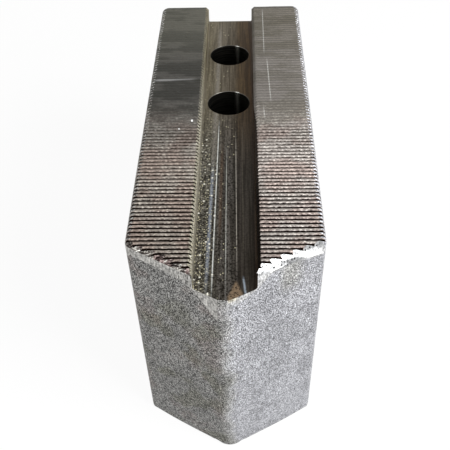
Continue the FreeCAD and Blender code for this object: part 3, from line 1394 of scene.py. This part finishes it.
@dataclass(frozen=True)
class MilledRidges:
    """Milled serrations: worn crests, bright flanks, and a dark colour down in the grooves, partly oily dirt
    and partly painted shade.
    """

    grain_mm: float = 0.8
    patch_mm: float = 8.0
    crest_z: float = 76.2
    marks: tuple[Mark, ...] = flat_marks(
        crest_z,
        ((11.9, 34.0), (12.0, 69.0), 0.5, "a8a8a4", 0.6),
        ((13.4, 5.0), (12.7, 34.0), 0.5, "b4b4b0", 0.6),
        ((11.3, -4.0), (10.9, 6.0), 0.5, "c8c8c4", 0.6),
        ((-25.4, 19.5), (-9.3, 20.0), 0.8, "8c8c8c", 0.7, 3.0),
        ((-11.2, -3.0), (-10.4, -3.0), 0.8, "f0f0f0", 1.0, 0.3),
        ((-10.2, -6.4), (-9.4, -6.4), 0.8, "e8e8e8", 1.0, 0.3),
        ((-14.8, -7.3), (-14.1, -7.3), 0.7, "e0e0e0", 0.9, 0.3),
    )

    def material(self) -> bpy.types.Material:
        """Makes the finish from the height within the ridges, with painted shade in the grooves and on the
        left pad, stains and scratches.
        """
        coat = Coat("milled_serrations")
        relief = coat.add("ShaderNodeAttribute", out="Fac", attribute_name="relief")
        stretch = coat.add("ShaderNodeMapping", {"Vector": coat.place, "Scale": (1.0, 2.6, 1.0)})
        grain = coat.add(
            "ShaderNodeTexNoise",
            {"Vector": stretch, "Scale": 1 / self.grain_mm, "Detail": 2.0, "Roughness": 0.65},
        )
        patch = coat.add(
            "ShaderNodeTexNoise", {"Vector": coat.place, "Scale": 1 / self.patch_mm, "Detail": 2.0}
        )
        smear = coat.add("ShaderNodeMapping", {"Vector": coat.place, "Scale": (0.5, 1.6, 1.0)})
        cloud = coat.add(
            "ShaderNodeTexNoise",
            {"Vector": smear, "Scale": 1 / self.patch_mm, "Detail": 3.0, "Roughness": 0.6},
        )
        left = coat.area((coat.x, 1.0, -1.0))
        # The dark groove colour, dirt and painted shade, is heaviest near the nose and thins further back,
        # where the whole face is darker and smoother.
        near = coat.area((coat.y, -22.0, -40.0))
        far = coat.area((coat.y, -12.0, 14.0))
        back = coat.area((coat.y, -34.0, 12.0))
        rear = coat.area((coat.y, 20.0, 58.0))
        swing = coat.add("ShaderNodeMapRange", {"Value": far, "To Min": 0.36, "To Max": 0.0})
        uneven = coat.add("ShaderNodeMath", {0: grain, 1: -0.5}, operation="ADD")
        uneven = coat.add("ShaderNodeMath", {0: uneven, 1: swing, 2: relief}, operation="MULTIPLY_ADD")
        uneven = coat.add("ShaderNodeMath", {0: far, 1: 0.9, 2: uneven}, operation="MULTIPLY_ADD")
        lively = coat.add("ShaderNodeMapRange", {"Value": far, "To Min": 1.0, "To Max": 0.16})
        tone = coat.add("ShaderNodeMath", {0: grain, 1: -0.5}, operation="ADD")
        tone = coat.add("ShaderNodeMath", {0: tone, 1: lively, 2: 0.5}, operation="MULTIPLY_ADD")
        light = coat.add(
            "ShaderNodeValToRGB", {"Fac": tone}, stops=((0.28, "847d78"), (0.5, "a9a29d"), (0.74, "f0eae2"))
        )
        oil = coat.area((patch, 0.42, 0.62), (coat.y, 12.0, -14.0), level=0.75)
        blot = coat.area((cloud, 0.56, 0.42), (coat.y, -18.0, 4.0), level=0.9)
        blot_left = coat.add("ShaderNodeMath", {0: blot, 1: left}, operation="MULTIPLY")
        back_left_shade = coat.add("ShaderNodeMath", {0: back, 1: left}, operation="MULTIPLY")
        rear_left_light = coat.add("ShaderNodeMath", {0: rear, 1: left}, operation="MULTIPLY")
        # Painted shade on the left pad, which the lamp on the right lights less: the films masked by the
        # left share darken it, and the left rear film adds painted light back at its rear.
        light = coat.lay(
            light,
            (Film.STAIN, "f0e2df", oil),
            (Film.STAIN, "eceae5", left),
            (Film.STAIN, "a2a3a2", back),
            (Film.STAIN, "c8cdd1", back_left_shade),
            (Film.STAIN, "e0e2e6", blot_left),
            (Film.STAIN, "e2e2dc", blot),
            (Film.STAIN, "e4e3dc", rear),
            (Film.SHINE, "353530", rear_left_light),
        )
        # A crest is rubbed duller than the flank under it.
        worn = coat.area((relief, 0.9, 1.0), (coat.y, -18.0, -40.0), level=0.5)
        light = coat.lay(light, (Film.STAIN, "a8a4a0", worn))
        # The dark groove colour is oily dirt and painted shade down in the grooves; where the mask is clean
        # the lit ridge colour shows.
        groove_dirt_and_shade = coat.add("ShaderNodeValToRGB", {"Fac": grain}, stops=((0.3, "1b1613"), (0.7, "3b332d")))
        groove_dirt_and_shade = coat.lay(groove_dirt_and_shade, (Film.STAIN, "8c8884", near))
        step = coat.add("ShaderNodeMapRange", {"Value": near, "To Min": 0.0, "To Max": -0.07})
        uneven = coat.add("ShaderNodeMath", {0: uneven, 1: step}, operation="ADD")
        clean_and_lit = coat.area((uneven, 0.46, 0.7))
        colour = coat.add("ShaderNodeMix", {0: clean_and_lit, 6: groove_dirt_and_shade, 7: light}, 2, data_type="RGBA")
        for mark in self.marks:
            colour = coat.lay(colour, mark.film(coat, clean_and_lit))
        rough = coat.add(
            "ShaderNodeMapRange",
            {"Value": relief, "From Min": 0.2, "From Max": 1.0, "To Min": 0.75, "To Max": 0.45},
        )
        return coat.finish(colour, rough, tone, 0.05)


@dataclass(frozen=True)
class TornMetal:
    """Ridge ends torn and smeared when the nose was ground: rough, dark, with raised burrs."""

    smear_mm: float = 1.5

    def material(self) -> bpy.types.Material:
        """Makes the finish: short smears along the ridges, dark hollows and bright burrs."""
        coat = Coat("torn_ridge_ends")
        turn = coat.add(
            "ShaderNodeMapping",
            {"Vector": coat.place, "Rotation": (0.0, 0.0, math.radians(16)), "Scale": (1.0, 2.8, 1.6)},
        )
        smear = coat.add(
            "ShaderNodeTexNoise",
            {"Vector": turn, "Scale": 1 / self.smear_mm, "Detail": 3.0, "Roughness": 0.7, "Distortion": 0.9},
        )
        colour = coat.add(
            "ShaderNodeValToRGB",
            {"Fac": smear},
            stops=((0.34, "100e0c"), (0.44, "393532"), (0.52, "6c6662"), (0.58, "aca8a1"), (0.68, "fffffb")),
        )
        patch = coat.add("ShaderNodeTexNoise", {"Vector": coat.place, "Scale": 0.3})
        colour = coat.lay(colour, (Film.STAIN, "e6d2d4", coat.area((patch, 0.5, 0.6))))
        return coat.finish(colour, 0.55, smear, 0.3)


@dataclass(frozen=True)
class GroundEdge:
    """Edges dressed on a grinding wheel: bright steel with short scratches across the edge."""

    mark_mm: float = 0.33
    spot_mm: float = 0.6

    def material(self) -> bpy.types.Material:
        """Makes the finish: bright on the right, greyer on the left as painted shade, with fine wheel marks.
        """
        coat = Coat("wheel_ground_edge")
        marks = coat.add("ShaderNodeMapping", {"Vector": coat.place, "Scale": (1.0, 1.0, 0.2)})
        scratch = coat.add(
            "ShaderNodeTexNoise",
            {"Vector": marks, "Scale": 1 / self.mark_mm, "Detail": 2.0, "Roughness": 0.7},
        )
        spots = coat.add(
            "ShaderNodeTexNoise", {"Vector": coat.place, "Scale": 1 / self.spot_mm, "Detail": 2.0}
        )
        half = coat.add("ShaderNodeMath", {0: spots, 1: 0.5}, operation="MULTIPLY")
        mixed = coat.add("ShaderNodeMath", {0: scratch, 1: 0.5, 2: half}, operation="MULTIPLY_ADD")
        tone = coat.add(
            "ShaderNodeValToRGB",
            {"Fac": mixed},
            stops=((0.32, "5f5f5f"), (0.43, "9b9b9b"), (0.52, "c2c2c2"), (0.66, "f5f5f5")),
        )
        # Painted shade: the left bevels, which the lamp on the right lights less, are greyed by the first
        # stain.
        left = coat.area((coat.x, 0.6, -1.2))
        # The grain of the bar shows through in dark pits, most of all in the right bevel's teeth.
        pits = coat.area((coat.x, 8.0, 9.0), (coat.z, 73.6, 74.8), level=0.35)
        pits = coat.specks(0.9, pits)
        ticks = coat.area(
            (scratch, 0.47, 0.38), (coat.x, -13.0, -10.5), (coat.x, -7.9, -8.1), level=0.8
        )
        teeth = coat.area((coat.x, 8.0, 9.0), (coat.z, 73.4, 74.6))
        cream = coat.area((coat.x, 4.0, 2.0), (coat.z, 69.0, 70.2), (coat.x, 0.5, 1.0))
        blue = coat.area((coat.x, 1.0, 2.0), (coat.z, 68.6, 67.4), level=0.7)
        colour = coat.lay(
            tone,
            (Film.STAIN, "e6e4df", left),
            (Film.STAIN, "4a4844", ticks),
            (Film.STAIN, "c4c5c6", teeth),
            (Film.STAIN, "4c4c4a", pits),
            (Film.STAIN, "fdf6e0", cream),
            (Film.STAIN, "dfe6f2", blue),
        )
        return coat.finish(colour, 0.48, mixed, 0.05)


@dataclass(frozen=True)
class OiledSlot:
    """Milled slot, stained by oil: olive brown, with long tool lines, stuck bright specks, and painted
    light, shade and highlights.
    """

    floor_z: float = 70.4
    grain_mm: float = 0.45
    streak_mm: float = 0.6
    streak_length_mm: float = 22.0
    lines: tuple[Mark, ...] = flat_marks(
        floor_z,
        ((-4.75, -70.0), (-4.15, -12.0), 1.4, "8e949e", 0.85, 16.0),
        ((-4.2, -24.0), (-3.6, 69.4), 2.4, "8a857c", 0.65, 14.0),
        ((-3.32, -72.0), (-2.85, 8.0), 0.5, "dadcd8", 1.0, 14.0),
        ((0.12, -72.0), (-0.35, -4.0), 0.48, "acaca6", 0.9, 22.0),
        ((0.85, -70.0), (0.8, -36.0), 0.5, "6e6a64", 0.6, 12.0),
        ((2.95, -66.0), (2.3, 4.0), 0.42, "aca69c", 0.85, 20.0),
        ((4.5, -60.0), (4.4, 5.0), 0.5, "5a554a", 0.5, 10.0),
        ((5.2, -68.5), (4.4, -61.0), 0.9, "96a0aa", 0.9, 2.0),
        ((-1.8, -52.0), (-1.6, -4.0), 1.6, "66503f", 0.4, 14.0),
    )

    def material(self) -> bpy.types.Material:
        """Makes the finish: bands across the slot with a painted shadow of the right wall, lighter towards
        the back with a painted reflection, lines along it, specks and a rusty patch.
        """
        coat = Coat("oiled_milled_slot")
        squash = self.streak_mm / self.streak_length_mm
        along = coat.add("ShaderNodeMapping", {"Vector": coat.place, "Scale": (1.0, squash, 1.0)})
        fine = coat.add(
            "ShaderNodeTexNoise",
            {"Vector": along, "Scale": 1 / self.streak_mm, "Detail": 2.0, "Roughness": 0.6},
        )
        grain = coat.add(
            "ShaderNodeTexNoise",
            {"Vector": coat.place, "Scale": 1 / self.grain_mm, "Detail": 2.0, "Roughness": 0.7},
        )
        # Across the slot the right third darkens: painted shadow of the right wall, darkest in the corner at
        # its foot.
        across = coat.add("ShaderNodeMapRange", {"Value": coat.x, "From Min": -8.0, "From Max": 8.0})
        front = coat.add(
            "ShaderNodeValToRGB",
            {"Fac": across},
            stops=(
                (0.0, "a8a495"),
                (0.03, "6c6963"),
                (0.2, "65635b"),
                (0.4, "5d5954"),
                (0.56, "5d5955"),
                (0.62, "4e4a44"),
                (0.66, "403b36"),
                (0.9, "423d37"),
                (0.97, "2d2721"),
                (1.0, "493d33"),
            ),
        )
        rear = coat.add(
            "ShaderNodeValToRGB",
            {"Fac": across},
            stops=(
                (0.0, "9a9282"),
                (0.04, "827a66"),
                (0.25, "787060"),
                (0.45, "665e50"),
                (0.6, "625848"),
                (0.7, "56462f"),
                (0.94, "4e3c26"),
                (0.985, "38291a"),
                (1.0, "46341f"),
            ),
        )
        # Towards the back the rear colours take over: browner from the oil, and lighter as a painted
        # reflection.
        back = coat.area((coat.y, -25.0, 28.0))
        colour = coat.add("ShaderNodeMix", {0: back, 6: front, 7: rear}, 2, data_type="RGBA")
        lively = coat.area((coat.x, 4.2, 2.4), (coat.y, 20.0, -20.0))
        speckled = coat.add("ShaderNodeMapRange", {"Value": lively, "To Min": 0.35, "To Max": 1.0})
        dark = coat.area((grain, 0.56, 0.40), level=speckled)
        bright = coat.area((grain, 0.54, 0.70), (coat.x, -2.2, -4.4), level=lively)
        colour = coat.lay(
            colour,
            (Film.STAIN, "aaa69e", coat.area((fine, 0.38, 0.6), level=0.8)),
            (Film.STAIN, "75716a", dark),
            (Film.SHINE, "7a776a", bright),
        )
        for line in self.lines:
            colour = coat.lay(colour, line.film(coat, coat.area((grain, 0.3, 0.48))))
        # The walls: pale olive on the left and dark brown on the right; the paleness is painted light on the
        # wall that faces the lamp and the darkness painted shade on the wall that faces away, over olive and
        # brown oil.
        lit_left_wall = coat.area((coat.z, 70.55, 71.2), (coat.x, 0.0, -1.0))
        shaded_right_wall = coat.area((coat.z, 70.55, 71.2), (coat.x, 0.0, 1.0))
        wall_back = coat.area((coat.y, -10.0, 40.0), level=lit_left_wall)
        colour = coat.lay(
            colour,
            (Film.COVER, "c8c4b4", lit_left_wall),
            (Film.STAIN, "b8b2a0", wall_back),
            (Film.STAIN, "8e8a80", coat.area((grain, 0.58, 0.42), level=lit_left_wall)),
            (Film.COVER, "4c3a2a", shaded_right_wall),
        )
        # Bright metal specks, thickest in the left third near the nose.
        crowd = coat.area((coat.x, -2.6, -6.4), (coat.y, 4.0, -34.0), level=0.55)
        crowd = coat.add(
            "ShaderNodeMath", {0: crowd, 1: coat.area((coat.x, 3.5, 1.0), level=0.05)}, operation="ADD"
        )
        specks = coat.specks(0.6, crowd)
        few = coat.specks(1.1, coat.area((coat.x, -2.0, -5.0), (coat.y, 8.0, -20.0), level=0.3))
        # Rust where the slot runs out at the nose, with a tail along the tool line.
        wedge = coat.add("ShaderNodeMath", {0: coat.x, 1: -2.7}, operation="ADD")
        wedge = coat.add("ShaderNodeMath", {0: wedge}, operation="ABSOLUTE")
        spread = coat.add(
            "ShaderNodeMapRange",
            {"Value": coat.y, "From Min": -68.0, "From Max": -63.6, "To Min": 2.0, "To Max": 0.3},
        )
        inside = coat.add("ShaderNodeMath", {0: wedge, 1: spread}, operation="SUBTRACT")
        rust = coat.area(
            (inside, 0.35, -0.5), (coat.y, -62.8, -64.0), (grain, 0.36, 0.5), (coat.z, 70.9, 70.6)
        )
        # Painted highlights: short bright dashes where burrs on the slot's front edge catch the light.
        front_edge_highlight = coat.area(
            (coat.x, -3.4, -2.6), (coat.x, 0.6, -0.4), (grain, 0.5, 0.56), (coat.y, -69.1, -69.4)
        )
        colour = coat.lay(
            colour,
            (Film.COVER, "cfc8aa", specks),
            (Film.COVER, "e8e6da", few),
            (Film.COVER, "7c6a56", rust),
            (Film.COVER, "e8e8e4", front_edge_highlight),
        )
        return coat.finish(colour, 0.5, grain, 0.04)


@dataclass(frozen=True)
class DrilledBore:
    """Drilled hole, left dark by cutting oil, with fine rings from the drill."""

    ring_mm: float = 0.5

    def material(self) -> bpy.types.Material:
        """Makes the finish: rings a twentieth of a millimetre deep and a painted highlight, a bright streak
        down the wall.
        """
        coat = Coat("oily_drilled_bore")
        rings = coat.add("ShaderNodeMapping", {"Vector": coat.place, "Scale": (0.05, 0.05, 1.0)})
        feed = coat.add(
            "ShaderNodeTexNoise", {"Vector": rings, "Scale": 1 / self.ring_mm, "Detail": 2.0}
        )
        colour = coat.add("ShaderNodeValToRGB", {"Fac": feed}, stops=((0.3, "3a3936"), (0.7, "6a6862")))
        # Painted highlight: a bright streak where the bore's wall would reflect the lamp.
        bore_highlight = coat.area((coat.x, 1.7, 2.7), (coat.x, 3.7, 2.9), (coat.z, 52.0, 70.0))
        colour = coat.lay(colour, (Film.COVER, "f0f0ea", bore_highlight))
        return coat.finish(colour, 0.32, feed, 0.05)


@dataclass(frozen=True)
class SawnFace:
    """Gripping face as it comes: sawn, then skimmed flat, with shallow arcs of the cutter."""

    arc_mm: float = 32.0
    cutter_centre_mm: float = 350.0

    def material(self) -> bpy.types.Material:
        """Makes the finish: faint overlapping arcs and a fine grain."""
        coat = Coat("skimmed_gripping_face")
        centre = coat.add(
            "ShaderNodeMapping", {"Vector": coat.place, "Location": (0.0, -self.cutter_centre_mm, 0.0)}
        )
        arcs = coat.add(
            "ShaderNodeTexWave",
            {"Vector": centre, "Scale": 1 / self.arc_mm, "Distortion": 0.6, "Detail": 2.0},
            "Fac",
            wave_type="RINGS",
            rings_direction="Z",
        )
        grain = coat.add("ShaderNodeTexNoise", {"Vector": coat.place, "Scale": 1.7, "Detail": 2.0})
        part = coat.add("ShaderNodeMath", {0: arcs, 1: 0.35}, operation="MULTIPLY")
        mixed = coat.add("ShaderNodeMath", {0: grain, 1: 0.65, 2: part}, operation="MULTIPLY_ADD")
        colour = coat.add(
            "ShaderNodeValToRGB", {"Fac": mixed}, stops=((0.25, "6e6e6e"), (0.5, "969696"), (0.8, "c0c0c0"))
        )
        return coat.finish(colour, 0.5, mixed, 0.03)


FINISHES = {
    Zone.BLASTED: BlastedSteel(),
    Zone.SERRATED: MilledRidges(),
    Zone.TORN: TornMetal(),
    Zone.GROUND: GroundEdge(),
    Zone.SLOT: OiledSlot(),
    Zone.BORE: DrilledBore(),
    Zone.GRIP: SawnFace(),
}


def seen_rays(tree: bpy.types.NodeTree) -> Socket:
    """1 for a ray from the camera, or one that metal or glass sends on, and 0 for the rest.

    Args:
        tree: the nodes of a material or of the world.

    Returns:
        The 0 or 1.
    """
    seen: Socket | float = 0.0
    for ray in ("Is Camera Ray", "Is Glossy Ray", "Is Transmission Ray"):
        path = add_node(tree, "ShaderNodeLightPath", out=ray)
        seen = add_node(tree, "ShaderNodeMath", {0: path, 1: seen}, operation="MAXIMUM")
    return seen


@dataclass
class Studio:
    """Floor, light and camera."""

    lens_mm: float = 55.3
    sensor_mm: float = 36.0
    camera_mm: Vector3 = (4.656, -176.69, 197.79)
    yaw_deg: float = -2.357
    down_deg: float = 45.574
    roll_deg: float = 1.982
    shift: tuple[float, float] = (0.0025, 0.0532)
    floor_glow: float = 0.94
    sky_light: float = 0.25
    floor_half_m: float = 1.5
    aim_m: Vector3 = (0, -0.03, 0.05)
    lamp_size_m: float = 0.5
    lamps: tuple[tuple[str, Vector3, float], ...] = (
        ("right_lamp", (0.55, -0.35, 0.45), 12.0),
        ("left_lamp", (-0.6, -0.3, 0.5), 1.2),
    )

    def build(self) -> None:
        """Makes the floor, the lamps, the world and the camera."""
        self._floor()
        self._lights()
        self._world()
        self._camera()

    def _floor(self) -> None:
        """A pale sheet under the jaw, white to the camera and to reflections."""
        mesh = bpy.data.meshes.new("studio_floor")
        r = self.floor_half_m
        mesh.from_pydata([(-r, -r, 0), (r, -r, 0), (r, r, 0), (-r, r, 0)], [], [(0, 1, 2, 3)])
        floor = bpy.data.objects.new("studio_floor", mesh)
        bpy.context.scene.collection.objects.link(floor)
        made = bpy.data.materials.new("pale_floor")
        made.use_nodes = True
        tree = made.node_tree
        shader = tree.nodes["Principled BSDF"]
        shader.inputs["Base Color"].default_value = linear("f4f4f4")
        shader.inputs["Roughness"].default_value = 0.9
        white = add_node(tree, "ShaderNodeEmission", {"Color": (1, 1, 1, 1), "Strength": 1.0})
        seen = {0: seen_rays(tree), 1: self.floor_glow}
        glow = add_node(tree, "ShaderNodeMath", seen, operation="MULTIPLY")
        mix = add_node(tree, "ShaderNodeMixShader", {0: glow, 1: shader.outputs[0], 2: white})
        tree.links.new(mix, tree.nodes["Material Output"].inputs["Surface"])
        mesh.materials.append(made)

    def _lights(self) -> None:
        """One large soft lamp on the right and a weak one on the left."""
        for name, place, power in self.lamps:
            data = bpy.data.lights.new(name, "AREA")
            data.shape = "DISK"
            data.size = self.lamp_size_m
            data.energy = power
            lamp = bpy.data.objects.new(name, data)
            lamp.location = place
            aim = Vector(self.aim_m) - Vector(place)
            lamp.rotation_euler = aim.to_track_quat("-Z", "Y").to_euler()
            bpy.context.scene.collection.objects.link(lamp)

    def _world(self) -> None:
        """White to the camera and to reflections, dim grey as light on the object."""
        world = bpy.data.worlds.new("studio_world")
        bpy.context.scene.world = world
        world.use_nodes = True
        tree = world.node_tree
        background = tree.nodes["Background"]
        background.inputs["Color"].default_value = (1, 1, 1, 1)
        links = {"Value": seen_rays(tree), "To Min": self.sky_light, "To Max": 1.0}
        strength = add_node(tree, "ShaderNodeMapRange", links)
        tree.links.new(strength, background.inputs["Strength"])

    def _camera(self) -> None:
        """The camera: where it stands, how far it turns left, looks down and rolls."""
        data = bpy.data.cameras.new("camera")
        data.lens = self.lens_mm
        data.sensor_width = self.sensor_mm
        data.shift_x, data.shift_y = self.shift
        data.clip_start = 0.01
        camera = bpy.data.objects.new("camera", data)
        yaw = math.radians(self.yaw_deg)
        down = math.radians(self.down_deg)
        level = math.cos(down)
        forward = Vector((math.sin(yaw) * level, math.cos(yaw) * level, -math.sin(down)))
        right = Vector((math.cos(yaw), -math.sin(yaw), 0))
        up = right.cross(forward)
        turn = Matrix((right, up, -forward)).transposed().to_4x4()
        camera.matrix_world = (
            Matrix.Translation(Vector(self.camera_mm) * MM)
            @ turn
            @ Matrix.Rotation(math.radians(-self.roll_deg), 4, "Z")
        )
        bpy.context.scene.collection.objects.link(camera)
        bpy.context.scene.camera = camera


def main() -> None:
    """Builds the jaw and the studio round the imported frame."""
    logging.basicConfig(level=logging.INFO, format="%(name)s: %(message)s")
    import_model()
    bpy.context.scene.view_settings.view_transform = "Standard"
    jaw = SoftJaw()
    body = jaw.build()
    for zone in Zone:
        body.data.materials.append(FINISHES[zone].material())
    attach(body, "root")
    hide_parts("soft_jaw")
    LOG.info("%s: %d triangles", body.name, len(body.data.polygons))
    Studio().build()


if __name__ == "__main__":
    main()
